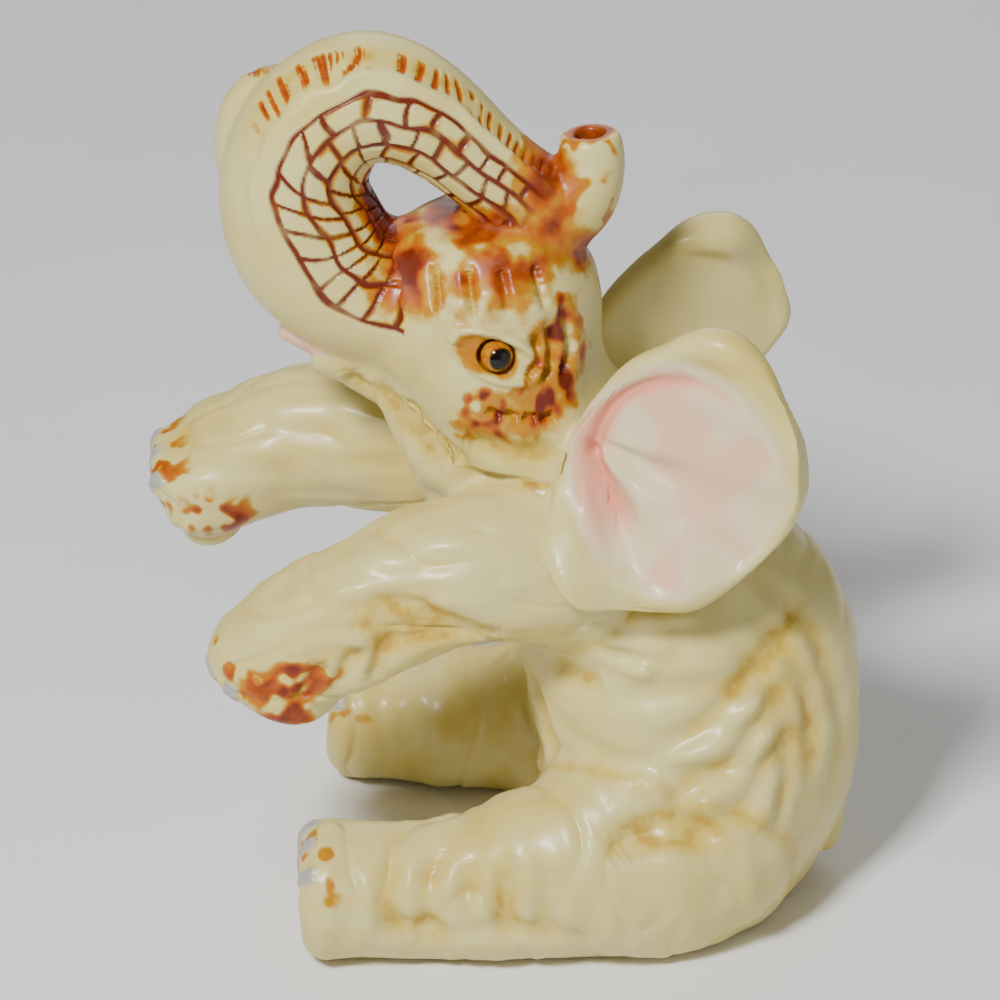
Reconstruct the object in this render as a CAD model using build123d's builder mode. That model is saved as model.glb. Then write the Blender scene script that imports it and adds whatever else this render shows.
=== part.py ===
"""A seated elephant figurine, cast in separate pieces that are glued together.

Millimetres, +Z up. The elephant faces -X, its left side is -Y, and its plane of symmetry is Y = 0.
The origin is on the flat base, in the middle of the face that the torso stands on.
Every rounded piece is a skin lofted through oval rings that are threaded on its centre line. A piece
is let into its neighbours: their seats are cut by the same skin, made larger by the glue gap.
"""
import math
import os

from build123d import *

# Driving dimensions
BASE_DEPTH = 24.0        # the torso's flat base, front to back
BASE_WIDTH = 23.0        # the torso's flat base, side to side
GLUE_GAP = 0.1           # clearance all round a piece in its seat
NECK_HEIGHT = 47.0       # the level joint between the torso and the head
PEG_RADIUS = 2.0         # the round peg that keys a piece into its seat
PEG_LENGTH = 3.5
EYE_RADIUS = 1.45
EAR_THICKNESS = 3.2
EAR_LENGTH = 24.0        # an ear's oval outline, front to back
EAR_INSET = 1.2          # how far the outline runs inside the head
EAR_YAW = 22.0           # how far the ears stand out from the head, in degrees
EAR_CUP = 1.8            # how far an ear bows off its flat plane
EAR_RINGS = 9
EAR_FIRST_ANGLE = 14.0   # how far round its oval an ear's first ring is, in degrees
LEG_ROUNDING = 2.4       # edge radius round a sole
HEAD_ROUNDING = 3.0
TRUNK_ROUNDING = 2.0
TIP_ROUNDING = 0.8
LOBE_ROUNDING = 1.2
JAW_ROUNDING = 1.0
TONGUE_ROUNDING = 0.6
TAIL_ROUNDING = 0.9
NOSTRIL_RADIUS = 1.3
NOSTRIL_DEPTH = 4.0

# Rings are (x, y, z, half width across, half height), from a piece's root to its end. Those of the
# pairs are for the right-hand side, at +Y.
TORSO_RINGS = [
    (-0.5, 0.0, 0.0, BASE_WIDTH / 2, BASE_DEPTH / 2),
    (-0.5, 0.0, 2.5, 14.2, 13.2),
    (0.0, 0.0, 7.0, 15.8, 14.6),
    (0.8, 0.0, 14.0, 16.6, 15.4),
    (0.3, 0.0, 21.0, 16.2, 16.0),
    (-0.5, 0.0, 28.0, 14.8, 15.8),
    (-4.0, 0.0, 35.0, 12.8, 15.4),
    (-9.2, 0.0, 42.0, 11.0, 14.2),
    (-13.4, 0.0, 48.5, 9.8, 11.8),
]
HEAD_RINGS = [
    (-12.8, 0.0, 45.5, 9.8, 11.6),
    (-16.0, 0.0, 51.0, 10.4, 10.4),
    (-18.8, 0.0, 56.0, 10.8, 10.4),
    (-19.4, 0.0, 61.0, 10.4, 10.6),
    (-19.4, 0.0, 65.5, 9.0, 9.0),
    (-19.2, 0.0, 69.0, 7.2, 7.2),
]
TRUNK_RINGS = [
    (-25.0, 0.0, 60.5, 8.4, 6.4),
    (-31.0, 0.0, 62.4, 8.0, 6.4),
    (-35.0, 0.0, 66.2, 7.8, 7.2),
    (-36.5, 0.0, 71.0, 7.4, 6.9),
    (-35.6, 0.0, 75.8, 7.0, 6.5),
    (-32.4, 0.0, 79.4, 6.6, 6.2),
    (-28.0, 0.0, 80.2, 6.2, 5.7),
    (-23.5, 0.0, 77.8, 5.6, 4.9),
    (-19.3, 0.0, 74.0, 5.0, 4.3),
    (-14.9, 0.0, 70.8, 4.6, 4.0),
    (-12.4, 0.0, 69.6, 4.3, 3.9),
]
TIP_RINGS = [
    (-13.2, 0.0, 69.0, 4.0, 3.6),
    (-10.8, 0.0, 71.4, 3.8, 3.7),
    (-9.8, 0.0, 74.2, 3.1, 3.1),
    (-10.0, 0.0, 77.0, 2.7, 2.7),
]
LOBE_RINGS = [
    (-37.0, 3.0, 68.4, 2.4, 2.6),
    (-40.2, 3.8, 72.8, 3.4, 3.6),
    (-39.8, 4.0, 77.0, 3.3, 3.6),
    (-36.4, 3.8, 79.6, 2.6, 2.6),
]
JAW_RINGS = [
    (-19.0, 0.0, 41.5, 6.6, 5.6),
    (-22.2, 0.0, 47.0, 6.2, 5.2),
    (-25.6, 0.0, 51.2, 5.4, 4.2),
    (-29.8, 0.0, 54.2, 4.4, 3.0),
    (-35.2, 0.0, 55.8, 3.2, 1.7),
]
TONGUE_RINGS = [
    (-28.0, 0.0, 56.2, 3.6, 1.8),
    (-33.0, 0.0, 56.6, 3.2, 1.7),
    (-38.0, 0.0, 58.6, 2.5, 1.3),
]
LEFT_FORELEG_RINGS = [
    (-6.5, -5.0, 36.0, 6.0, 6.4),
    (-13.5, -8.8, 37.6, 7.0, 7.2),
    (-20.5, -11.0, 38.0, 6.8, 7.1),
    (-27.0, -12.0, 36.6, 6.4, 6.8),
    (-32.8, -12.2, 33.8, 6.2, 6.4),
    (-37.6, -12.2, 30.2, 6.3, 6.6),
    (-39.4, -12.2, 26.0, 6.0, 6.1),
]
RIGHT_FORELEG_RINGS = [
    (-13.0, 7.0, 39.5, 7.2, 7.2),
    (-24.0, 10.6, 41.2, 7.0, 7.2),
    (-33.0, 12.0, 41.0, 6.9, 7.2),
    (-40.5, 12.4, 39.2, 6.6, 6.8),
    (-46.0, 12.4, 36.4, 6.4, 6.4),
    (-50.0, 12.4, 34.4, 5.8, 5.7),
]
LEFT_HIND_LEG_RINGS = [
    (5.0, -7.6, 9.4, 7.0, 8.0),
    (-2.0, -12.0, 8.8, 8.6, 10.0),
    (-10.0, -13.6, 8.4, 8.0, 9.2),
    (-18.0, -14.4, 7.2, 7.0, 7.8),
    (-27.0, -14.6, 6.2, 6.5, 6.6),
    (-36.6, -14.8, 6.2, 6.7, 6.6),
]
RIGHT_HIND_LEG_RINGS = [
    (5.0, 7.6, 9.4, 7.0, 8.0),
    (-2.0, 12.0, 8.8, 8.6, 10.0),
    (-10.0, 14.4, 8.4, 8.0, 9.2),
    (-18.0, 16.4, 7.3, 7.0, 7.8),
    (-26.0, 18.0, 6.2, 6.5, 6.6),
    (-35.2, 18.6, 6.2, 6.7, 6.6),
]
TAIL_RINGS = [
    (13.4, 1.6, 10.4, 1.7, 1.7),
    (14.0, 0.8, 6.0, 1.7, 1.7),
    (12.6, -0.2, 2.2, 1.9, 1.9),
]
EAR_ROOT = Vector(-12.0, 9.5, 52.0)
# Each ear is (side, half height of its oval, droop at the root, lift at the tip)
EARS = {
    "left": (-1, 12.8, 8.0, 0.0),
    "right": (1, 10.4, 7.6, 2.0),
}
EYE_PLACE = Vector(-18.3, 10.1, 59.6)

LIMBS = {
    "left_foreleg": LEFT_FORELEG_RINGS,
    "right_foreleg": RIGHT_FORELEG_RINGS,
    "left_hind_leg": LEFT_HIND_LEG_RINGS,
    "right_hind_leg": RIGHT_HIND_LEG_RINGS,
}


def ring_planes(rings, level=False):
    """A plane across the centre line at each ring, or level with the base. Its x is near +Y."""
    centres = [Vector(*ring[:3]) for ring in rings]
    if level:
        return [Plane(origin=centre, x_dir=(0, 1, 0), z_dir=(0, 0, 1)) for centre in centres]
    planes = []
    for place, centre in enumerate(centres):
        before = centres[max(place - 1, 0)]
        after = centres[min(place + 1, len(centres) - 1)]
        along = (after - before).normalized()
        sideways = (Vector(0, 1, 0) - along * along.Y).normalized()
        planes.append(Plane(origin=centre, x_dir=sideways, z_dir=along))
    return planes


def casting(rings, rounding=0.0, grow=0.0, keyed=False, level=False):
    """Loft a closed solid through the rings.

    rounding is the radius of the far end's edge. keyed adds the round peg that stands out of the
    root. grow makes it all larger, for cutting the seat of the piece.
    """
    planes = ring_planes(rings, level)
    with BuildPart() as body:
        sections = []
        for place, (plane, ring) in enumerate(zip(planes, rings)):
            with BuildSketch(plane if place else plane.offset(-grow)) as oval:
                Ellipse(ring[3] + grow, ring[4] + grow)
            sections.append(oval.sketch)
        loft(sections)
        if rounding:
            end_face = body.faces().sort_by_distance(planes[-1].origin)[0]
            fillet(end_face.edges(), rounding)
        if keyed:
            with BuildSketch(planes[0].offset(PEG_LENGTH / -2)) as disc:
                Circle(PEG_RADIUS + grow)
            extrude(disc.sketch, amount=PEG_LENGTH / 2 + grow, both=True)
    return body.part


def fan(side, half_height, droop, lift, grow=0.0):
    """Loft an ear through slot-shaped rings that stand across its oval outline."""
    outward = Vector(1, 0, 0).rotate(Axis.Z, side * EAR_YAW)
    normal = outward.rotate(Axis.Z, side * 90)
    root = Vector(EAR_ROOT.X, side * EAR_ROOT.Y, EAR_ROOT.Z)
    turn = (180 - 2 * EAR_FIRST_ANGLE) / (EAR_RINGS - 1)
    with BuildPart() as plate:
        sections = []
        for ring in range(EAR_RINGS):
            angle = math.radians(EAR_FIRST_ANGLE + ring * turn)
            along = (1 - math.cos(angle)) / 2
            height = 2 * half_height * math.sin(angle)
            bow = EAR_CUP * along * math.sin(angle)
            middle = lift * along - droop * (1 - along) ** 2
            centre = root + outward * (EAR_LENGTH * along - EAR_INSET) - normal * bow + Vector(0, 0, middle)
            with BuildSketch(Plane(origin=centre, x_dir=(0, 0, 1), z_dir=outward)) as slot:
                SlotOverall(height + 2 * grow, EAR_THICKNESS + 2 * grow)
            sections.append(slot.sketch)
        loft(sections)
    return plate.part


def bead(side, grow=0.0):
    """A round eye on one side of the head."""
    with BuildPart() as ball:
        with Locations((EYE_PLACE.X, side * EYE_PLACE.Y, EYE_PLACE.Z)):
            Sphere(EYE_RADIUS + grow)
    return ball.part


# The seats, each the skin of its piece with the glue gap all round
trunk_seat = casting(TRUNK_RINGS, TRUNK_ROUNDING, GLUE_GAP, keyed=True)
tip_seat = casting(TIP_RINGS, TIP_ROUNDING, GLUE_GAP)
tongue_seat = casting(TONGUE_RINGS, TONGUE_ROUNDING, GLUE_GAP)
jaw_seat = casting(JAW_RINGS, JAW_ROUNDING, GLUE_GAP)
tail_seat = casting(TAIL_RINGS, TAIL_ROUNDING, GLUE_GAP)
limb_seats = [casting(rings, LEG_ROUNDING, GLUE_GAP, keyed=True) for rings in LIMBS.values()]
ear_seats = [fan(*ear, GLUE_GAP) for ear in EARS.values()]
eye_seats = [bead(ear[0], GLUE_GAP) for ear in EARS.values()]
trunk_tube = casting(TRUNK_RINGS, TRUNK_ROUNDING, keyed=True)
trunk_tip = casting(TIP_RINGS, TIP_ROUNDING)
trunk_lobe = casting(LOBE_RINGS, LOBE_ROUNDING)
torso_skin = casting(TORSO_RINGS, level=True)
head_skin = casting(HEAD_RINGS, HEAD_ROUNDING, level=True)
jaw_skin = casting(JAW_RINGS, JAW_ROUNDING)
tongue_skin = casting(TONGUE_RINGS, TONGUE_ROUNDING)

with BuildPart() as trunk:
    add(trunk_tube)
    add(trunk_tip)
    add(trunk_lobe)
    with BuildSketch(ring_planes(TIP_RINGS)[-1]):
        Circle(NOSTRIL_RADIUS)
    extrude(amount=-NOSTRIL_DEPTH, mode=Mode.SUBTRACT)
trunk.part.label = "trunk"

with BuildPart() as tongue:
    add(tongue_skin)
    add(trunk_seat, mode=Mode.SUBTRACT)
tongue.part.label = "tongue"

with BuildPart() as lower_jaw:
    add(jaw_skin)
    add(trunk_seat, mode=Mode.SUBTRACT)
    add(tongue_seat, mode=Mode.SUBTRACT)
    add(limb_seats, mode=Mode.SUBTRACT)
lower_jaw.part.label = "lower_jaw"

with BuildPart() as head:
    add(head_skin)
    split(bisect_by=Plane.XY.offset(NECK_HEIGHT + GLUE_GAP), keep=Keep.TOP)
    add([trunk_seat, tip_seat, tongue_seat, jaw_seat], mode=Mode.SUBTRACT)
    add(limb_seats + ear_seats + eye_seats, mode=Mode.SUBTRACT)
head.part.label = "head"

with BuildPart() as torso:
    add(torso_skin)
    split(bisect_by=Plane.XY.offset(NECK_HEIGHT), keep=Keep.BOTTOM)
    add([trunk_seat, jaw_seat, tail_seat], mode=Mode.SUBTRACT)
    add(limb_seats + ear_seats, mode=Mode.SUBTRACT)
torso.part.label = "torso"

with BuildPart() as tail:
    add(casting(TAIL_RINGS, TAIL_ROUNDING))
tail.part.label = "tail"

pieces = [torso.part, head.part, trunk.part, lower_jaw.part, tongue.part, tail.part]

for name, rings in LIMBS.items():
    limb_skin = casting(rings, LEG_ROUNDING, keyed=True)
    with BuildPart() as limb:
        add(limb_skin)
        split(bisect_by=Plane.XY, keep=Keep.TOP)
        add(ear_seats, mode=Mode.SUBTRACT)
    limb.part.label = name
    pieces.append(limb.part)

for name, outline in EARS.items():
    ear = fan(*outline)
    ear.label = name + "_ear"
    eye = bead(outline[0])
    eye.label = name + "_eye"
    pieces += [ear, eye]

os.makedirs("parts", exist_ok=True)
for piece in pieces:
    export_step(piece, "parts/" + piece.label + ".step")
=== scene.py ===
"""A seated elephant figurine in cast, stained resin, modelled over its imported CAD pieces.

Each CAD casting is turned into a distance field. The fields are blended into one skin, folds and
engraving are carved into it, and each piece's own share of the skin is meshed again. Lengths in the
sculpting half of the script are millimetres in the row frame; Blender's own objects are in metres.
"""
import math

import bpy
import numpy as np
import openvdb
from mathutils import Euler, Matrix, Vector


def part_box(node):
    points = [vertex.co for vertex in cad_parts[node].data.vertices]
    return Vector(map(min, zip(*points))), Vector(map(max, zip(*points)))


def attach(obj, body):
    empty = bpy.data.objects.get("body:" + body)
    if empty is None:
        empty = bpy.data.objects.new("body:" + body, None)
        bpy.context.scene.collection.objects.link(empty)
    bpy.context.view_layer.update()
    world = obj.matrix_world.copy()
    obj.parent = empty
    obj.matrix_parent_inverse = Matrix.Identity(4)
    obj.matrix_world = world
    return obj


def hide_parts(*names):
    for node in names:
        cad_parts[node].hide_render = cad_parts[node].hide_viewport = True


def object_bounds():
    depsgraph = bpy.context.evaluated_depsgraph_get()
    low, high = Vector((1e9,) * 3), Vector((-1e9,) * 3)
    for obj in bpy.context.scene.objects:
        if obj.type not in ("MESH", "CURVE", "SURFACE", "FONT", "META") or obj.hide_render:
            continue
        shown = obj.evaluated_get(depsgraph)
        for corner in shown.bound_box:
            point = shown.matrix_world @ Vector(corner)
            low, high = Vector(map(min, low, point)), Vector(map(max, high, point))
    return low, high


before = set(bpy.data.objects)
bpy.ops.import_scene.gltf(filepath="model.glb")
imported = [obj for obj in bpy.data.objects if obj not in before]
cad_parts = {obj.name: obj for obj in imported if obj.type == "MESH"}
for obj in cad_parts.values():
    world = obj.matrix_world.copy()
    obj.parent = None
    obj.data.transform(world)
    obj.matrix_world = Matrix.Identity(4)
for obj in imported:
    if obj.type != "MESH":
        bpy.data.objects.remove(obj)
cad_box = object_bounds()

MM = 0.001
FOLD_STRENGTH = 2.7     # all the folds' depths are multiplied by this
DEEPEST = 1.4           # however many folds meet, they go no deeper
BAND = 5.0              # how far from a surface its distance field reaches
MARGIN = 1.6            # room round a piece's box for its new skin
OVERLAP = 1.2           # how far a piece runs on under its neighbour's skin
DIVE = 0.35             # how steeply it goes under
SNAP_ROUNDS = 4         # steps that a point takes toward the skin
SEAM_FADE = 3.5         # how far in from a seam the wrinkles reach their full height

# Voxel size of each piece's skin, before its quads are divided in four, and how softly the piece
# flows into those listed before it
CASTINGS = {
    "torso": (0.50, 0.0),
    "left_hind_leg": (0.48, 4.0),
    "right_hind_leg": (0.52, 4.0),
    "left_foreleg": (0.44, 3.4),
    "right_foreleg": (0.44, 3.4),
    "tail": (0.40, 1.2),
    "head": (0.36, 0.8),
    "lower_jaw": (0.36, 2.0),
    "left_ear": (0.40, 0.7),
    "right_ear": (0.42, 0.7),
    "trunk": (0.35, 2.4),
    "tongue": (0.30, 0.5),
}


# ---------------------------------------------------------------- distance fields

def node_surface(name):
    """The points, in millimetres, and triangles of a CAD node."""
    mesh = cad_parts[name].data
    mesh.calc_loop_triangles()
    points = np.empty(len(mesh.vertices) * 3, np.float32)
    mesh.vertices.foreach_get("co", points)
    triangles = np.empty(len(mesh.loop_triangles) * 3, np.int32)
    mesh.loop_triangles.foreach_get("vertices", triangles)
    points = points.reshape(-1, 3) / MM
    if name.endswith("_ear"):
        side = SIDES[name.removesuffix("_ear")]
        points[:, 1] += side * ear_flare(points, side)
    return points, triangles.reshape(-1, 3)


class Region:
    """A box of voxels, with some room round the corners given."""

    def __init__(self, low, high, voxel):
        low, high = np.array(low) / MM, np.array(high) / MM
        self.voxel = voxel
        self.low = low - MARGIN
        self.shape = tuple(int(n) for n in np.ceil((high - low + 2 * MARGIN) / voxel) + 1)
        self.high = self.low + voxel * (np.array(self.shape) - 1)

    def distance_to(self, name):
        """The signed distance to a casting, or None where it is out of reach."""
        points, triangles = SURFACES[name]
        low, high = points.min(0), points.max(0)
        if (low > self.high + BAND).any() or (high < self.low - BAND).any():
            return None
        transform = openvdb.createLinearTransform(voxelSize=self.voxel)
        grid = openvdb.FloatGrid.createLevelSetFromPolygons(
            points=points - self.low,
            triangles=triangles,
            transform=transform,
            halfWidth=BAND / self.voxel,
        )
        dense = np.empty(self.shape, np.float32)
        grid.copyToArray(dense)
        return dense

    def sample(self, field, points):
        """The field at any points, by linear interpolation."""
        at = np.clip((points - self.low) / self.voxel, 0, np.array(self.shape) - 1.001)
        base = at.astype(int)
        part = at - base
        total = np.zeros(len(points))
        for corner in np.ndindex(2, 2, 2):
            weight = np.prod(np.where(corner, part, 1 - part), axis=1)
            total += weight * field[tuple((base + corner).T)]
        return total

    def slope(self, field, points):
        """The field's gradient at any points."""
        return np.stack([
            self.sample(field, points + step) - self.sample(field, points - step)
            for step in np.eye(3) * self.voxel
        ], 1) / (2 * self.voxel)

    def snap(self, field, points):
        """Move points onto the skin, where the field is zero."""
        for _ in range(SNAP_ROUNDS):
            value = self.sample(field, points)
            slope = self.slope(field, points)
            steep = np.maximum((slope ** 2).sum(1), 0.2)
            points = points - slope * (np.clip(value, -1, 1) / steep)[:, None]
        return points


def soft_union(first, second, reach):
    """The union of two fields, with a fillet where both surfaces are nearer than reach."""
    union = np.minimum(first, second)
    if reach:
        near = np.maximum(reach - np.abs(first - second), 0) / reach
        union -= near ** 2 * reach / 4
    return union


# ---------------------------------------------------------------- curves and noise

def smooth_curve(path, step=0.3):
    """Points about a step apart along a Catmull-Rom curve through a path."""
    path = np.array(path, float)
    ends = np.vstack([2 * path[0] - path[1], path, 2 * path[-1] - path[-2]])
    curve = []
    for start in range(len(path) - 1):
        p0, p1, p2, p3 = ends[start:start + 4]
        count = max(int(np.linalg.norm(p2 - p1) / step), 2)
        t = np.linspace(0, 1, count, endpoint=False)[:, None]
        curve.append(0.5 * (2 * p1 + (p2 - p0) * t + (2 * p0 - 5 * p1 + 4 * p2 - p3) * t ** 2
                            + (3 * p1 - p0 - 3 * p2 + p3) * t ** 3))
    curve.append(path[-1:])
    return np.vstack(curve)


NEAREST_BLOCK = 16        # samples compared at a time, to save memory


def nearest(points, curve):
    """For each point, its distance to a curve and the curve's nearest sample."""
    best = np.full(len(points), 1e9)
    place = np.zeros(len(points), int)
    for start in range(0, len(curve), NEAREST_BLOCK):
        block = curve[start:start + NEAREST_BLOCK]
        squares = ((points[:, None, :] - block[None]) ** 2).sum(2)
        column = squares.argmin(1)
        value = squares[np.arange(len(points)), column]
        closer = value < best
        best[closer] = value[closer]
        place[closer] = column[closer] + start
    return np.sqrt(best), place


LATTICE_SIZE = 32
LATTICE_SHIFT = 7.31      # apart enough that two noises with different shifts look unrelated
LATTICE = np.random.default_rng(7).uniform(-1, 1, (LATTICE_SIZE, LATTICE_SIZE, LATTICE_SIZE))
TILT = np.array(Euler((0.6, 0.5, 0.7)).to_matrix())     # so that no surface lies along the lattice


def noise(points, size, shift=0):
    """Smooth value noise from -1 to 1, with features of a given size."""
    at = points @ TILT / size + shift * LATTICE_SHIFT
    base = np.floor(at).astype(int)
    part = at - base
    part = part * part * (3 - 2 * part)
    total = np.zeros(len(points))
    for corner in np.ndindex(2, 2, 2):
        weight = np.prod(np.where(corner, part, 1 - part), axis=1)
        total += weight * LATTICE[tuple(((base + corner) % LATTICE_SIZE).T)]
    return total


def ramp(value, low, high):
    """A smooth step from 0 at low to 1 at high."""
    t = np.clip((value - low) / (high - low), 0, 1)
    return t * t * (3 - 2 * t)


# ---------------------------------------------------------------- landmarks

def middle(name):
    """The middle of a node's box, in millimetres."""
    low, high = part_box(name)
    return (np.array(low) + np.array(high)) / 2 / MM


SIDES = {"left": -1, "right": 1}
SIDE_NAMES = {side: name for name, side in SIDES.items()}
EYES = {side: middle(name + "_eye") for name, side in SIDES.items()}
EYE_X, EYE_Z = EYES[-1][0], EYES[-1][2]
EARS = {side: middle(name + "_ear") for name, side in SIDES.items()}
EAR_FLARE = 8.0                                     # how far an ear's lower front edge stands out
EAR_HALF = {-1: (11.5, 13.0), 1: (11.5, 11.0)}     # half length and half height of each ear
HIP = (-3.0, 11.0)                                  # in side view, as all the places below
ARMPIT = (-13.0, 28.0)
GROIN = (-13.0, 20.0)
TRUNK_LINE = [
    (-25, 61), (-31, 62.5), (-35, 66), (-36.5, 71), (-35.5, 76), (-32, 79.5),
    (-28, 80), (-23.5, 78), (-19, 74), (-15, 71), (-12.5, 69.5),
]
# Each foot is the middle of its sole, the way that the sole faces, and its radius
FEET = {
    "left_hind_leg": ((-36.6, -14.8, 6.2), (-1.0, 0.0, 0.0), 6.6),
    "right_hind_leg": ((-35.2, 18.6, 6.2), (-1.0, 0.0, 0.0), 6.6),
    "left_foreleg": ((-39.4, -12.2, 26.0), (-0.5, 0.0, -0.9), 6.1),
    "right_foreleg": ((-50.0, 12.4, 34.4), (-0.9, 0.0, -0.4), 5.8),
}


def ear_flare(points, side):
    """How far an ear's lower lobe stands out over the shoulder, most at its front edge."""
    place = EARS[side]
    half_length, half_height = EAR_HALF[side]
    down = ramp(place[2] - points[:, 2], 1, half_height)
    forward = 0.5 - 0.5 * (points[:, 0] - place[0]) / half_length
    return EAR_FLARE * down * forward


# ---------------------------------------------------------------- the whole skin, coarsely

SURFACES = {name: node_surface(name) for name in CASTINGS}
COARSE = 0.5
whole = Region(*cad_box, COARSE)
coarse = {name: whole.distance_to(name) for name in CASTINGS}


def blended(fields):
    """One skin from the distance fields of the castings."""
    skin = None
    for name, (_, blend) in CASTINGS.items():
        if fields.get(name) is not None:
            skin = fields[name] if skin is None else soft_union(skin, fields[name], blend)
    return skin


coarse_skin = blended(coarse)


RAY_REACH = 28          # from the middle plane to outside the widest piece
RAY_STEP = 0.25


def on_skin(piece, side, path):
    """Lay a side-view path, of (x, z) points, on one side of a piece, then on the blended skin."""
    flat = smooth_curve(path)
    reach = np.arange(0, RAY_REACH, RAY_STEP)[::-1] * side
    rays = np.empty((len(flat), len(reach), 3))
    rays[..., 0] = flat[:, None, 0]
    rays[..., 1] = reach[None]
    rays[..., 2] = flat[:, None, 1]
    values = whole.sample(coarse[piece], rays.reshape(-1, 3)).reshape(len(flat), -1)
    inside = values < 0
    hit = np.where(inside.any(1), inside.argmax(1), values.argmin(1))
    return whole.snap(coarse_skin, rays[np.arange(len(flat)), hit])


# ---------------------------------------------------------------- folds in the skin

def arc(place, radius, start, end, flatten=1.0):
    """A side-view arc, with its angles in degrees up from the back."""
    angles = np.radians(np.linspace(start, end, 7))
    return [(place[0] + radius * math.cos(a), place[1] + flatten * radius * math.sin(a)) for a in angles]


def sagging(start, end, sag):
    """A side-view line that hangs below the straight one by sag, or above it."""
    half = ((start[0] + end[0]) / 2, (start[1] + end[1]) / 2 - sag)
    return [start, half, end]


def body_folds(side):
    """Slack skin over the flank, haunch and back: (piece, width, depth, path)."""
    folds = []
    for step in range(4):
        end = (8.0, 17.0 + 3.6 * step)
        start = (GROIN[0] + 0.8 * step, GROIN[1] - 2.0 + 2.4 * step)
        folds.append(("torso", 1.3, 0.34 - 0.05 * step, sagging(start, end, 1.6 - step)))
    for step in range(3):
        start = (11.0 - step, 34.0 - 5.0 * step)
        end = (-8.0 + 3.0 * step, 19.0 - 3.0 * step)
        folds.append(("torso", 1.3, 0.32, sagging(start, end, 1.5 + step)))
        folds.append(("torso", 1.8, -0.20, sagging((start[0], start[1] - 2.4), end, 2.5 + step)))
    for step in range(3):
        folds.append(("torso", 1.5, 0.34 - 0.07 * step, arc((-6.0, 20.0), 15.0 + 2.6 * step, -35, 62)))
    folds.append(("torso", 1.3, 0.55, sagging((-15.5, 24.0), (-12.0, 17.0), 0.8)))
    for step in range(3):
        level = 30.5 + 2.4 * step
        end = (-3.0 + 2 * step, level - 1.0)
        folds.append(("torso", 0.9, -0.24, sagging((-10.0 + step, level), end, 0.5)))
    folds.append(("torso", 1.2, 0.45, [ARMPIT, (-11.0, 27.0), (-8.0, 27.5)]))
    leg = SIDE_NAMES[side] + "_hind_leg"
    folds.append((leg, 1.7, 0.60, arc(HIP, 7.0, 20, 150, 0.6)))
    folds.append((leg, 2.2, -0.30, arc(HIP, 10.5, 25, 140, 0.7)))
    for step in range(5):
        across = -14.0 - 3.6 * step
        folds.append((leg, 1.1, 0.30, [(across + 1.0, 13.0), (across, 9.0), (across + 0.8, 4.0)]))
    folds.append((leg, 1.2, 0.28, [(-31.0, 7.0), (-25.0, 5.5), (-18.0, 6.0), (-8.0, 4.5)]))
    return folds


def limb_folds(side):
    """Creases in the crook of the foreleg, and down it."""
    leg = SIDE_NAMES[side] + "_foreleg"
    reach = {-1: 0.0, 1: -6.0}[side]
    lift = {-1: 0.0, 1: 4.0}[side]
    folds = []
    for step in range(4):
        start = (-17.0 - 2.0 * step, 35.0 + lift + 0.8 * step)
        end = (-30.0 + reach - step, 33.0 + lift + 1.6 * step)
        folds.append((leg, 1.0, 0.42, sagging(start, end, -0.8)))
    for step in range(3):
        across = -29.0 + reach - 3.4 * step
        folds.append((leg, 0.9, 0.32, sagging((across + 2.0, 36.0 + lift - 1.6 * step),
                                              (across - 1.0, 30.0 + lift - 1.2 * step), 0.0)))
    return folds


def head_folds(side):
    """Creases in the neck and jaw, and crow's feet behind the eye."""
    folds = [
        ("torso", 1.2, 0.40, sagging((-26.0, 43.5), (-13.0, 42.0), 0.6)),
        ("head", 1.4, 0.35, sagging((-22.0, 51.0), (-12.0, 50.0), 0.8)),
    ]
    for step in range(3):
        start = (-32.0 + 2.4 * step, 56.0 - 1.2 * step)
        end = (-25.5 + 2.4 * step, 43.5 + 1.5 * step)
        folds.append(("lower_jaw", 1.1, 0.60 - 0.1 * step, sagging(start, end, 1.0)))
    for step in range(3):
        folds.append(("head", 0.5, 0.40, arc((EYE_X, EYE_Z), 3.6 + 1.5 * step, -50 + 10 * step, 35)))
    for step in range(4):
        across = EYE_X - 1.0 + 1.6 * step
        folds.append(("head", 0.4, 0.38, [(across, EYE_Z - 5.0 - step / 2), (across + 1.6, EYE_Z - 6.2)]))
    for step in range(4):
        start = (-24.0 + 3.0 * step, 67.5)
        folds.append(("head", 0.45, 0.35, sagging(start, (start[0] + 0.8, 63.0), 0.0)))
    return folds


FOLDS = [
    (on_skin(piece, side, path), width, depth)
    for side in SIDES.values()
    for piece, width, depth, path in body_folds(side) + limb_folds(side) + head_folds(side)
]


FOLD_REACH = 2.4          # how far from its middle a fold is felt, in widths
FOLD_TAPER = 0.25         # the part of a fold's length that each end takes to fade


def fold_height(points):
    """How far the folds move the skin outward, in millimetres."""
    height = np.zeros(len(points))
    for curve, width, depth in FOLDS:
        reach = FOLD_REACH * width
        near = ((points > curve.min(0) - reach) & (points < curve.max(0) + reach)).all(1)
        if not near.any():
            continue
        distance, place = nearest(points[near], curve)
        along = place / (len(curve) - 1)
        taper = ramp(along, 0, FOLD_TAPER) * ramp(1 - along, 0, FOLD_TAPER)
        wander = 1 + 0.8 * noise(points[near], 4.0, 5)
        height[near] -= FOLD_STRENGTH * depth * taper * wander * np.exp(-(distance / width) ** 2)
    return DEEPEST * np.tanh(height / DEEPEST)


SHOULDER = (-2.0, 44.0)             # the slack skin hangs in rings round this place, in side view
# How each limb's fine wrinkles are stretched: the larger a number, the finer they are along that axis
LIMB_GRAIN = {
    "left_foreleg": (0.40, 0.8, 1.2),
    "right_foreleg": (0.40, 0.8, 1.2),
    "left_hind_leg": (1.1, 0.6, 0.45),
    "right_hind_leg": (1.1, 0.6, 0.45),
    "lower_jaw": (0.9, 1.0, 0.35),
}


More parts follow.
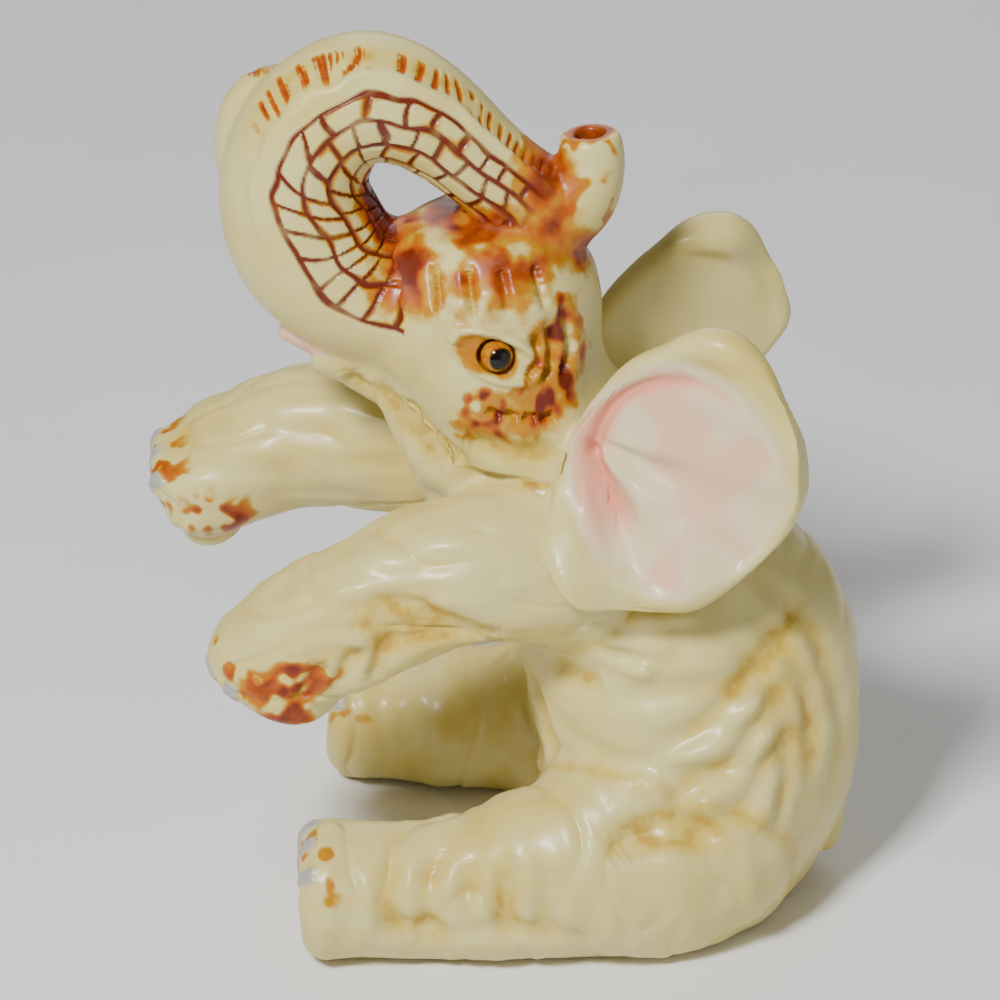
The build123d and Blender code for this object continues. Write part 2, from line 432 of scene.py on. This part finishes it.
def creases(points, size, shift):
    """Sharp valleys that wander, 1 at their deepest, where a noise crosses zero."""
    return np.maximum(1 - np.abs(noise(points, size, shift)) / 0.20, 0) ** 1.5


def wrinkle_height(points, name):
    """Lumps all over, with wrinkles that hang round the body and run along the limbs."""
    if name.endswith("_ear"):
        return 0.08 * noise(points, 3.0, 12)
    height = 0.40 * noise(points, 8.0, 11) + 0.12 * noise(points, 2.6, 12)
    if name == "torso":
        down = points[:, 2] - SHOULDER[1]
        back = points[:, 0] - SHOULDER[0]
        radius = np.hypot(back, down)
        hang = np.stack([radius, 5 * np.arctan2(back, -down), 0.25 * points[:, 1]], 1)
        slack = 1 - 0.6 * ramp(points[:, 0], 3, 9)
        height += slack * (0.55 * noise(hang, 3.4, 31) + 0.16 * noise(hang, 1.7, 32))
        height -= slack * 0.34 * creases(hang, 5.0, 36)
    if name in LIMB_GRAIN:
        grain = points * LIMB_GRAIN[name]
        height += 0.46 * noise(grain, 3.2, 33) + 0.16 * noise(grain, 1.5, 34)
        height -= 0.30 * creases(grain, 4.4, 37)
    if name == "head":
        height += 0.16 * noise(points * (1.0, 0.6, 0.5), 2.2, 35)
    return height


# ---------------------------------------------------------------- the trunk's engraving

ROW_TURN = 22.0           # one row of the scale pattern, in degrees round the trunk
LINE_HALF = 0.25          # half the width of an engraved line
BORDER_TURN = -24         # where the first row starts over the loop, in degrees; under it, at 0
TICK_PITCH = 1.15         # between the short cuts on the outside of the loop


def trunk_place(points):
    """Where points are on the trunk: how far along it, degrees round toward the loop's hole, and radius.

    The trunk's own length comes last.
    """
    line = smooth_curve(TRUNK_LINE)
    step = np.linalg.norm(np.diff(line, axis=0), axis=1)
    lengths = np.concatenate([[0], np.cumsum(step)])
    _, place = nearest(points[:, [0, 2]], line)
    tangent = np.gradient(line, axis=0)
    tangent /= np.linalg.norm(tangent, axis=1)[:, None]
    normal = np.stack([tangent[:, 1], -tangent[:, 0]], 1)
    off = points[:, [0, 2]] - line[place]
    toward = (off * normal[place]).sum(1)
    along = lengths[place] + (off * tangent[place]).sum(1)
    around = np.degrees(np.arctan2(toward, np.abs(points[:, 1])))
    return along, around, np.hypot(toward, points[:, 1]), lengths[-1]


def engraving(points):
    """The trunk's relief, and its line, stain and ochre masks."""
    along, around, radius, length = trunk_place(points)
    around = around + 6 * noise(points, 4.0, 1) + 3 * noise(points, 1.8, 3)
    border = BORDER_TURN * ramp(along, 0.25 * length, 0.50 * length)
    row = (around - border) / ROW_TURN
    zone = ramp(along, 0.5, 2.0) * ramp(length - along, 2.0, 4.5)
    arc_length = np.radians(ROW_TURN) * np.maximum(radius, 2)
    to_row = np.abs(row - np.round(row)) * arc_length
    which = np.floor(row)
    lower = 1 - ramp(along, 0.42 * length, 0.62 * length)
    pitch = 2.7 + 0.8 * np.clip(which - 1, 0, 2)
    slant = 0.45 * lower * (row - which)
    cross = (along + 0.9 * noise(points, 3.0, 2)) / pitch + which * 0.5 + slant
    to_cross = np.abs(cross - np.round(cross)) * pitch
    inside = ramp(row, -0.06, 0.0)
    line = np.where(np.round(row) >= 0, 1 - ramp(to_row, LINE_HALF * 0.7, LINE_HALF * 1.4), 0)
    line = np.maximum(line, inside * (1 - ramp(to_cross, LINE_HALF * 0.7, LINE_HALF * 1.4)))
    line *= zone * np.where(row > -0.25, 1, 0)
    line *= np.minimum(1.0 + 0.35 * noise(points, 1.4, 18), 1)
    patchy = 10 * noise(points, 1.6, 16)
    deep = zone * ramp(around + patchy, 72 - 26 * lower, 96 - 26 * lower)
    beside = np.minimum(to_row, to_cross)
    smudge = 0.40 * zone * inside * (1 - ramp(beside, 0.2, 0.8)) * ramp(noise(points, 2.6, 17), -0.3, 0.4)
    rim = np.exp(-((around - border + 15) / 6) ** 2) * zone * ramp(along, 0.25 * length, 0.4 * length)
    tick = (along + 0.7 * noise(points, 3.0, 4)) / TICK_PITCH
    to_tick = np.abs(tick - np.round(tick)) * TICK_PITCH
    outer = np.exp(-((around - border + 33) / 13) ** 2) * ramp(along, 0.40 * length, 0.52 * length)
    outer = outer * ramp(length - along, 1.0, 4.0)
    ticks = ramp(outer, 0.1, 0.6) * (1 - ramp(to_tick, 0.10, 0.34)) * ramp(noise(points, 2.0, 6), -0.7, 0.0)
    smear = 0.42 * ramp(outer, 0.3, 0.9) * ramp(noise(points, 4.0, 7), -0.1, 0.5)
    height = 0.45 * rim - 0.24 * line - 0.20 * ticks
    stain = np.maximum.reduce([deep, 0.70 * ticks, smear, smudge])
    return height, line, stain, 0.8 * outer


# ---------------------------------------------------------------- eyes, ears and feet

def eye_height(points):
    """A socket with a lid round it, under a brow."""
    height = np.zeros(len(points))
    for place in EYES.values():
        off = points - place
        distance = np.linalg.norm(off, axis=1)
        slanted = off[:, 2] + 0.35 * off[:, 0]
        almond = np.sqrt((0.72 * off[:, 0]) ** 2 + (1.25 * slanted) ** 2 + (0.5 * off[:, 1]) ** 2)
        near = 1 - ramp(distance, 4.5, 6.0)
        height += near * 0.75 * np.exp(-((almond - 2.7) / 0.55) ** 2) * (1 + 0.25 * np.sign(slanted))
        height -= 0.35 * np.exp(-(distance / 1.9) ** 4)
        height += 0.7 * np.exp(-((distance - 5.4) / 1.5) ** 2) * ramp(off[:, 2], 1, 4)
    return height


def ear_place(points, side):
    """Where points are on an ear: 0 to 1 from its middle to its rim, and degrees round from its tip."""
    place = EARS[side]
    half_length, half_height = EAR_HALF[side]
    out = (points[:, 0] - place[0]) / half_length
    up = (points[:, 2] - place[2]) / half_height
    return np.hypot(out, up), np.degrees(np.arctan2(up, out))


EAR_YAW = math.radians(22)
EAR_ROOT = (-9.0, 0.0, 3.0)          # where an ear's ribs start, from its middle


def ear_relief(points, side):
    """The outward face's hollow and raised ribs, and its blush along the root."""
    rim, turn = ear_place(points, side)
    place = EARS[side]
    plane = place[1] + side * (math.tan(EAR_YAW) * (points[:, 0] - place[0]) + ear_flare(points, side))
    outer = ramp(side * (points[:, 1] - plane), -0.2, 0.6)
    flesh = 1 - ramp(rim, 0.72, 0.92)
    off_root = points - (place + np.array(EAR_ROOT))
    fan = np.degrees(np.arctan2(off_root[:, 2], off_root[:, 0]))
    away = np.hypot(off_root[:, 0], off_root[:, 2])
    ribs = np.cos(np.radians(fan + 8 * noise(points, 6.0, 10)) * 8) * ramp(-fan, 0, 30) * ramp(away, 1, 5)
    height = 0.70 * ribs * flesh - 0.60 * flesh + 0.35 * noise(points, 4.0, 8)
    upper = ramp(turn, 40, 75) * (1 - ramp(turn, 176, 180))
    fold = np.exp(-((rim - 0.68) / 0.05) ** 2) * upper * (0.35 + 0.65 * ramp(turn, 75, 140))
    groove = np.exp(-((fan + 62) / 9) ** 2) * ramp(away, 0.5, 2.0) * (1 - ramp(away, 7.0, 11.0))
    root = ramp(np.abs(turn), 120, 165) * ramp(rim, 0.45, 0.72) * (1 - ramp(rim, 0.80, 0.95))
    tint_amount = 0.34 * ramp(noise(points, 3.6, 9), -0.1, 0.6) * flesh
    blush = 0.28 * flesh + fold + 0.6 * groove + 0.60 * root + tint_amount
    corners = 0.6 * np.cos(np.radians(5 * turn)) + 0.7 * noise(points, 6.5, 45)
    outline = corners * ramp(rim, 0.82, 0.98)
    return outline + outer * (height - 0.80 * fold - 0.30 * groove), outer * np.clip(blush, 0, 1)


NAIL_TURNS = (-50, -18, 14, 46)      # degrees outward from the top of the sole


def foot_relief(points, name):
    """Nails round the edge of a sole, and the stain between them."""
    sole, facing, radius = (np.array(value) for value in FEET[name])
    facing = facing / np.linalg.norm(facing)
    up = np.array([facing[2], 0, -facing[0]])
    outward = -1 if sole[1] < 0 else 1
    off = points - sole
    back = -(off @ facing)
    turn = np.degrees(np.arctan2(off[:, 1] * outward, off @ up))
    band = ramp(back, -0.8, 0.2) * (1 - ramp(back + 0.4 * noise(points, 0.9, 41), 1.3, 2.0))
    nail = np.zeros(len(points))
    for at in NAIL_TURNS:
        width = np.abs(turn - at) * np.radians(radius)
        nail = np.maximum(nail, 1 - ramp(width, 0.5, 1.1))
    nail = nail * band
    spread = ramp(90 - np.abs(turn), 0, 25) * (1 - ramp(back, 2.0, 6.0)) * ramp(back, -1.5, 0.0)
    speckle = noise(points, 1.5, 14) + 0.5 * noise(points, 0.8, 15)
    stain = (0.40 if name.endswith("hind_leg") else 0.60) * spread * ramp(speckle, -0.05, 0.50)
    if name.endswith("foreleg"):
        for side in SIDES.values():
            heel = sole - 5.0 * facing + np.array([0, side * radius, -1.0])
            far = np.linalg.norm((points - heel) * (0.7, 1.0, 1.0), axis=1)
            heel_stain = 1 - ramp(far + 1.6 * noise(points, 1.8, 42), 1.2, 4.2)
            stain = np.maximum(stain, 0.85 * heel_stain * ramp(noise(points, 1.0, 43), -0.55, 0.15))
    return 0.30 * nail, 0.85 * nail, stain * (1 - nail)


def rubbed_stain(points):
    """Stain rubbed into the crease under the trunk, over the forehead and round the eyes."""
    to_trunk = np.abs(whole.sample(coarse["trunk"], points))
    to_head = np.abs(whole.sample(coarse["head"], points))
    streaks = noise(points * (1.0, 1.0, 0.45), 1.3, 23)
    patchy = 0.5 * noise(points, 2.4, 21) + 0.3 * noise(points, 1.0, 22) + 0.3 * streaks
    high = ramp(points[:, 2], 61, 66)
    crease = np.maximum(to_trunk, to_head)
    front = 1 - ramp(points[:, 0], -24, -19)
    dark = high * ramp(4.6 - crease + 1.4 * patchy, 0, 3.6)
    stain = dark * (0.50 + (0.30 + 0.15 * front) * ramp(patchy + 0.2 * front, -0.1, 0.4))
    crown = ramp(points[:, 2], 60, 67) * ramp(points[:, 0], -28, -24) * ramp(6 - to_head, 3, 5)
    stain = np.maximum(stain, crown * (0.30 + 0.44 * ramp(patchy, -0.05, 0.40)) * ramp(patchy, -0.30, 0.05))
    for place in EYES.values():
        off = points - place
        distance = np.linalg.norm(off, axis=1)
        almond = np.hypot(0.72 * off[:, 0] + 0.7, 1.2 * (off[:, 2] + 0.35 * off[:, 0]) + 0.1)
        amber = 0.38 * (1 - ramp(almond + 0.6 * patchy, 1.8, 2.6)) * ramp(5 - distance, 0, 0.5)
        behind = ramp(off[:, 0] - 0.9 * off[:, 2], -0.5, 2.0)
        patch = behind * ramp(distance, 2.6, 3.8) * (1 - ramp(distance, 7.5, 11.0))
        fine = 0.7 * patchy + 0.6 * noise(points * (1.0, 1.0, 0.6), 0.9, 24)
        mottle = 0.36 * ramp(patchy, -0.40, -0.05) + 0.60 * ramp(fine, 0.05, 0.45)
        stain = np.maximum(stain, np.maximum(amber, patch * mottle))
    notch = np.hypot(points[:, 0] + 14.0, points[:, 2] - 73.6)
    tip = ramp(points[:, 0], -19, -15) * ramp(points[:, 2], 66, 70) * ramp(patchy, -0.15, 0.15)
    nostril = np.hypot(points[:, 0] + 10.0, points[:, 1])
    hollow = (1 - ramp(nostril + 0.6 * patchy, 1.6, 2.4)) * ramp(points[:, 2], 70, 73)
    return np.maximum.reduce([
        stain,
        0.80 * (1 - ramp(notch + 1.2 * patchy, 1.0, 3.8)),
        0.50 * tip,
        0.75 * hollow,
    ])


EAR_SHADOW = (2.6, 0.95 * BAND)     # from full ochre to none below an ear, inside the field's reach: partly stain, partly the ear's shadow painted on


def relief(points, name, inland):
    """The height of a piece's carving, and what is painted on it, at any points.

    The wrinkles die out where inland falls to 0, at the seams, so that neighbours agree there.
    """
    height = fold_height(points)
    if name != "trunk":
        height += inland * wrinkle_height(points, name)
    paint = {key: np.zeros(len(points)) for key in ("stain", "ochre", "line", "pink", "nail")}
    paint["ochre"] = 0.85 * ramp(-height, -0.15, 1.1)
    if name == "trunk":
        cut, paint["line"], paint["stain"], ochre = engraving(points)
        height += cut
        paint["ochre"] = np.maximum(paint["ochre"], ochre)
        paint["stain"] = np.maximum(paint["stain"], rubbed_stain(points))
    if name == "head":
        height += eye_height(points)
        paint["stain"] = rubbed_stain(points)
    if name.endswith("_ear"):
        cut, paint["pink"] = ear_relief(points, -1 if name == "left_ear" else 1)
        height += cut
    if name in FEET:
        cut, paint["nail"], paint["stain"] = foot_relief(points, name)
        height += cut
    # Ochre bands on the far hind leg's upper part: partly stain, partly painted shade for the leg that sits
    # in shadow
    if name == "right_hind_leg":
        bands = ramp(noise(points * (1.0, 0.2, 0.2), 3.0, 44), -0.4, 0.5)
        paint["ochre"] = np.maximum(paint["ochre"], 0.45 * bands * ramp(points[:, 2], 3, 8))
    # Ochre on the torso below each ear: partly stain, partly a painted shadow of the ear
    if name == "torso":
        for side_name in SIDES:
            below_ear = whole.sample(coarse[side_name + "_ear"], points)
            paint["ochre"] = np.maximum(paint["ochre"], 1 - ramp(below_ear, *EAR_SHADOW))
    return height, paint


# ---------------------------------------------------------------- meshing

def share_of_skin(name):
    """One casting's share of the blended skin: its points and quads.

    With them come two samplers: how deep the cracks are, and how far inside the share a point is.
    """
    region = Region(*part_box(name), CASTINGS[name][0])
    fields = {other: region.distance_to(other) for other in CASTINGS}
    fields = {other: field for other, field in fields.items() if field is not None}
    skin = blended(fields)
    crevice = np.minimum.reduce(list(fields.values())) - skin
    territory = fields.pop(name)
    territory = territory - np.minimum.reduce(list(fields.values()))
    past = np.maximum(territory, 0)
    field = np.maximum(skin + DIVE * past ** 2 / (past + 0.5), territory - OVERLAP)
    heights = region.low[2] + region.voxel * np.arange(region.shape[2])
    field = np.maximum(field, -heights).astype(np.float32)
    grid = openvdb.FloatGrid(BAND)
    grid.copyFromArray(field)
    points, quads = grid.convertToQuads(isovalue=0.0)
    points = points.astype(float) * region.voxel + region.low
    return (
        points,
        facing_out(points, quads),
        lambda places: region.sample(crevice, places),
        lambda places: -region.sample(territory, places),
    )


def facing_out(points, quads):
    """The quads, turned so that the solid's volume is positive."""
    a, b, c = (points[quads[:, corner]] for corner in (0, 1, 2))
    volume = (a * np.cross(b, c)).sum()
    return quads if volume > 0 else quads[:, ::-1]


def divided(name, points, quads):
    """A mesh of the quads, each divided smoothly in four."""
    rough = bpy.data.meshes.new(name + "_rough")
    rough.from_pydata((points * MM).tolist(), [], quads.tolist())
    shape = bpy.data.objects.new(name + "_rough", rough)
    bpy.context.scene.collection.objects.link(shape)
    shape.modifiers.new("divide", "SUBSURF").levels = 1
    graph = bpy.context.evaluated_depsgraph_get()
    mesh = bpy.data.meshes.new_from_object(shape.evaluated_get(graph))
    bpy.data.objects.remove(shape)
    bpy.data.meshes.remove(rough)
    mesh.name = name + "_skin"
    return mesh


def vertex_values(values, key):
    """A vector for each item of a Blender collection, as rows."""
    flat = np.empty(len(values) * 3, np.float32)
    values.foreach_get(key, flat)
    return flat.reshape(-1, 3).astype(float)


def add_piece(name, material):
    """Make the carved and painted piece that stands for a CAD node."""
    points, quads, crevice, depth_inside = share_of_skin(name)
    mesh = divided(name, points, quads)
    points = vertex_values(mesh.vertices, "co") / MM
    normals = vertex_values(mesh.vertex_normals, "vector")
    height, paint = relief(points, name, ramp(depth_inside(points), 0, SEAM_FADE))
    paint["ochre"] = np.maximum(paint["ochre"], 0.75 * ramp(crevice(points), 0.25, 1.0))
    standing = ramp(points[:, 2], 0.2, 2.0)
    points += normals * (height * standing)[:, None]
    points[:, 2] = np.maximum(points[:, 2], 0)
    mesh.vertices.foreach_set("co", (points * MM).astype(np.float32).ravel())
    mesh.update()
    mesh.shade_smooth()
    for key, values in paint.items():
        layer = mesh.attributes.new(key, "FLOAT", "POINT")
        layer.data.foreach_set("value", values.astype(np.float32))
    mesh.materials.append(material)
    piece = bpy.data.objects.new(name + "_skin", mesh)
    bpy.context.scene.collection.objects.link(piece)
    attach(piece, "root")
    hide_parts(name)
    print("carved", name, len(mesh.polygons) * 2, "triangles")
    return piece


# ---------------------------------------------------------------- materials

CREAM = (0.68, 0.59, 0.23, 1)
WARM_CREAM = (0.62, 0.46, 0.07, 1)
YELLOW = (0.60, 0.40, 0.03, 1)
OCHRE = (0.34, 0.14, 0.005, 1)
PALE = (0.76, 0.64, 0.40, 1)
PINK = (0.80, 0.20, 0.13, 1)
NAIL_GREY = (0.34, 0.34, 0.36, 1)
LINE_RED = (0.13, 0.010, 0.0, 1)
AMBER = (0.50, 0.24, 0.0, 1)
ORANGE = (0.42, 0.075, 0.0, 1)
DARK_RED = (0.14, 0.012, 0.0, 1)


RAGGED = 0.50             # how much noise roughens the edges of the stain


class Shader:
    """A material under construction."""

    def __init__(self, name, roughness, coat):
        self.material = bpy.data.materials.new(name)
        self.material.use_nodes = True
        self.nodes = self.material.node_tree.nodes
        self.links = self.material.node_tree.links
        self.surface = self.nodes["Principled BSDF"]
        self.surface.inputs["Roughness"].default_value = roughness
        self.surface.inputs["Coat Weight"].default_value = coat
        self.surface.inputs["Coat Roughness"].default_value = 0.18
        self.surface.inputs["Specular IOR Level"].default_value = 0.32
        self.place = self.nodes.new("ShaderNodeTexCoord").outputs["Object"]

    def put(self, socket, value):
        """Link or set a socket."""
        if isinstance(value, bpy.types.NodeSocket):
            self.links.new(value, socket)
        else:
            socket.default_value = value

    def attribute(self, name):
        """A painted attribute."""
        node = self.nodes.new("ShaderNodeAttribute")
        node.attribute_name = name
        return node.outputs["Fac"]

    def noise(self, size, detail=3):
        """Noise with features of a size in millimetres."""
        node = self.nodes.new("ShaderNodeTexNoise")
        node.inputs["Scale"].default_value = 1 / (size * MM)
        node.inputs["Detail"].default_value = detail
        self.links.new(self.place, node.inputs["Vector"])
        return node.outputs["Fac"]

    def steps(self, value, *stops):
        """A colour ramp, from its (position, colour) stops."""
        node = self.nodes.new("ShaderNodeValToRGB")
        elements = node.color_ramp.elements
        while len(elements) < len(stops):
            elements.new(0.5)
        for element, (position, colour) in zip(elements, stops):
            element.position = position
            element.color = colour
        self.links.new(value, node.inputs["Fac"])
        return node.outputs["Color"]

    def grey(self, value, low, high):
        """Nought below low and one above high."""
        return self.steps(value, (low, (0, 0, 0, 1)), (high, (1, 1, 1, 1)))

    def math(self, operation, first, second):
        """Arithmetic on two values."""
        node = self.nodes.new("ShaderNodeMath")
        node.operation = operation
        self.put(node.inputs[0], first)
        self.put(node.inputs[1], second)
        return node.outputs["Value"]

    def mix(self, factor, first, second):
        """Blend two colours."""
        node = self.nodes.new("ShaderNodeMix")
        node.data_type = "RGBA"
        self.put(node.inputs["Factor"], factor)
        self.put(node.inputs["A"], first)
        self.put(node.inputs["B"], second)
        return node.outputs["Result"]

    def bump(self, height, depth, strength):
        """Roughen the surface by a height."""
        node = self.nodes.new("ShaderNodeBump")
        node.inputs["Strength"].default_value = strength
        node.inputs["Distance"].default_value = depth * MM
        self.links.new(height, node.inputs["Height"])
        self.links.new(node.outputs["Normal"], self.surface.inputs["Normal"])


def ivory_resin():
    """Cream resin with ochre in its folds, rubbed stain, pink ears, grey nails and engraved lines, and
    ochre partly painted as shade under the ears and on the far hind leg.
    """
    shader = Shader("ivory_resin", 0.40, 0.16)
    tone = shader.grey(shader.noise(9.0), 0.42, 0.72)
    colour = shader.mix(shader.math("MULTIPLY", tone, 0.60), CREAM, WARM_CREAM)
    streaks = shader.grey(shader.noise(2.2, 4), 0.10, 0.62)
    # The ochre mask holds stain in the folds and, under the ears and on the far hind leg, painted shade too
    tint_amount = shader.math("MULTIPLY", shader.attribute("ochre"), streaks)
    colour = shader.mix(shader.grey(tint_amount, 0.10, 0.95), colour, YELLOW)
    colour = shader.mix(shader.math("MULTIPLY", shader.grey(tint_amount, 0.60, 1.0), 0.6), colour, OCHRE)
    pink = shader.attribute("pink")
    colour = shader.mix(shader.grey(pink, 0.0, 0.35), colour, PALE)
    blush = shader.math("MULTIPLY", shader.grey(pink, 0.32, 1.0), 0.75)
    colour = shader.mix(blush, colour, PINK)
    colour = shader.mix(shader.attribute("nail"), colour, NAIL_GREY)
    ragged = shader.math("MULTIPLY_ADD", shader.noise(1.1, 6), RAGGED)
    shader.put(ragged.node.inputs[2], -RAGGED / 2)
    level = shader.math("ADD", shader.attribute("stain"), ragged)
    rubbed = shader.steps(level, (0.28, AMBER), (0.60, ORANGE), (0.92, DARK_RED))
    colour = shader.mix(shader.grey(level, 0.10, 0.32), colour, rubbed)
    colour = shader.mix(shader.attribute("line"), colour, LINE_RED)
    shader.put(shader.surface.inputs["Base Color"], colour)
    shader.bump(shader.noise(0.7, 4), 0.06, 0.25)
    return shader.material


def pink_resin():
    """The tongue's pink, paler in patches."""
    shader = Shader("pink_resin", 0.34, 0.3)
    tone = shader.grey(shader.noise(1.6), 0.35, 0.70)
    colour = shader.mix(tone, (0.80, 0.36, 0.26, 1), (0.82, 0.54, 0.36, 1))
    shader.put(shader.surface.inputs["Base Color"], colour)
    shader.bump(shader.noise(0.5), 0.05, 0.2)
    return shader.material


def black_bead():
    """Glossy black, with a faint brown depth to it and amber round the pupil."""
    shader = Shader("black_bead", 0.08, 0.1)
    tone = shader.grey(shader.noise(0.8), 0.40, 0.80)
    colour = shader.mix(tone, (0.002, 0.002, 0.002, 1), (0.010, 0.006, 0.004, 1))
    iris = shader.mix(shader.grey(shader.noise(0.5), 0.35, 0.65), ORANGE, AMBER)
    colour = shader.mix(shader.attribute("iris"), colour, iris)
    shader.put(shader.surface.inputs["Base Color"], colour)
    return shader.material


def stage_white():
    """The plain pale floor."""
    shader = Shader("stage_white", 0.75, 0.0)
    tone = shader.grey(shader.noise(40.0), 0.3, 0.7)
    colour = shader.mix(tone, (0.84, 0.84, 0.84, 1), (0.88, 0.88, 0.88, 1))
    shader.put(shader.surface.inputs["Base Color"], colour)
    return shader.material


# ---------------------------------------------------------------- the figurine

resin = ivory_resin()
for casting in CASTINGS:
    if casting != "tongue":
        add_piece(casting, resin)
add_piece("tongue", pink_resin())

LOOK_X = 0.38             # the pupils are set toward the backs of the eyes
PUPIL_TURN = 44           # from a pupil's middle to its edge, in degrees
IRIS_EDGE = 8             # over which the pupil turns to amber
BEAD_SEGMENTS = 48
BEAD_RINGS = 24


def add_eye(side_name, side_sign, material):
    """A bead with its pupil facing outward."""
    low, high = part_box(side_name + "_eye")
    bpy.ops.mesh.primitive_uv_sphere_add(
        segments=BEAD_SEGMENTS,
        ring_count=BEAD_RINGS,
        radius=(high[0] - low[0]) / 2,
        location=EYES[side_sign] * MM,
    )
    eye = bpy.context.object
    eye.name = side_name + "_eye_bead"
    eye.data.shade_smooth()
    eye.data.materials.append(material)
    looks = Vector((LOOK_X, side_sign, 0.1)).normalized()
    iris = eye.data.attributes.new("iris", "FLOAT", "POINT")
    for vertex, value in zip(eye.data.vertices, iris.data):
        turned = math.degrees(vertex.co.normalized().angle(looks))
        value.value = float(ramp(turned, PUPIL_TURN, PUPIL_TURN + IRIS_EDGE))
    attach(eye, "root")
    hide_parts(side_name + "_eye")


bead = black_bead()
for eye_name, eye_side in SIDES.items():
    add_eye(eye_name, eye_side, bead)


# ---------------------------------------------------------------- stage, light and camera

FLOOR_SIZE = 6.0
bpy.ops.mesh.primitive_plane_add(size=FLOOR_SIZE, location=(0, 0, 0))
floor = bpy.context.object
floor.name = "floor"
floor.data.materials.append(stage_white())

TARGET = Vector((-0.018, -0.003, 0.0415))


def aim(thing):
    """Turn a light or camera toward the figurine."""
    thing.rotation_euler = (TARGET - thing.location).to_track_quat("-Z", "Y").to_euler()


def soft_light(name, place, size, power):
    """A square area light that faces the figurine."""
    lamp = bpy.data.lights.new(name, "AREA")
    lamp.size = size
    lamp.energy = power
    thing = bpy.data.objects.new(name, lamp)
    thing.location = place
    bpy.context.scene.collection.objects.link(thing)
    aim(thing)


soft_light("key", place=(-0.18, -0.30, 0.40), size=0.09, power=3.3)
soft_light("fill", place=(0.40, -0.30, 0.16), size=0.40, power=0.4)
soft_light("back", place=(0.05, 0.45, 0.35), size=0.40, power=0.9)

world = bpy.data.worlds.new("studio")
world.use_nodes = True
world.node_tree.nodes["Background"].inputs["Color"].default_value = (1, 1, 1, 1)
world.node_tree.nodes["Background"].inputs["Strength"].default_value = 0.17
bpy.context.scene.world = world

FOCAL_LENGTH = 147.06           # in millimetres, as is the sensor's width
SENSOR_WIDTH = 36
CAMERA_DISTANCE = 0.380
CAMERA_HEIGHT_ANGLE = math.radians(27)
lens = bpy.data.cameras.new("camera")
lens.lens = FOCAL_LENGTH
lens.sensor_width = SENSOR_WIDTH
camera = bpy.data.objects.new("camera", lens)
camera.location = TARGET + CAMERA_DISTANCE * Vector((
    0,
    -math.cos(CAMERA_HEIGHT_ANGLE),
    math.sin(CAMERA_HEIGHT_ANGLE),
))
bpy.context.scene.collection.objects.link(camera)
aim(camera)
bpy.context.scene.camera = camera
